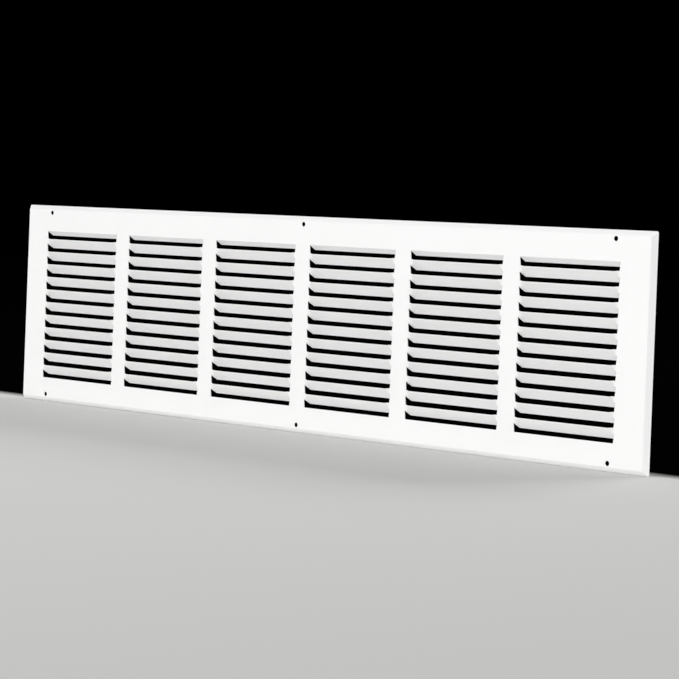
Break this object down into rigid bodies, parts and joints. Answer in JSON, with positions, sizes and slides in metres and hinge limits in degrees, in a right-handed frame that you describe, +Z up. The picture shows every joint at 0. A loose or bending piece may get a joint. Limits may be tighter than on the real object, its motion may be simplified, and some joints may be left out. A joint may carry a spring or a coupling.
{
  "type": "return air grille",
  "caption": "White pressed-steel return air grille: a long flat plate pierced by columns of slanted louvres, with screw holes in its border and a sloping rim folded back to the wall.",
  "frame": {"origin": "centre of the wall plane, on which the free edge of the rim stands", "axes": "+X along the louvres, to the right seen from the room; +Y into the wall, so the front faces -Y; +Z up"},
  "size_m": [0.8064, 0.0097, 0.1968],
  "materials": {
    "enamel": "white baked enamel, satin"
  },
  "bodies": {
    "root": {"grille": "enamel"}
  },
  "joints": []
}
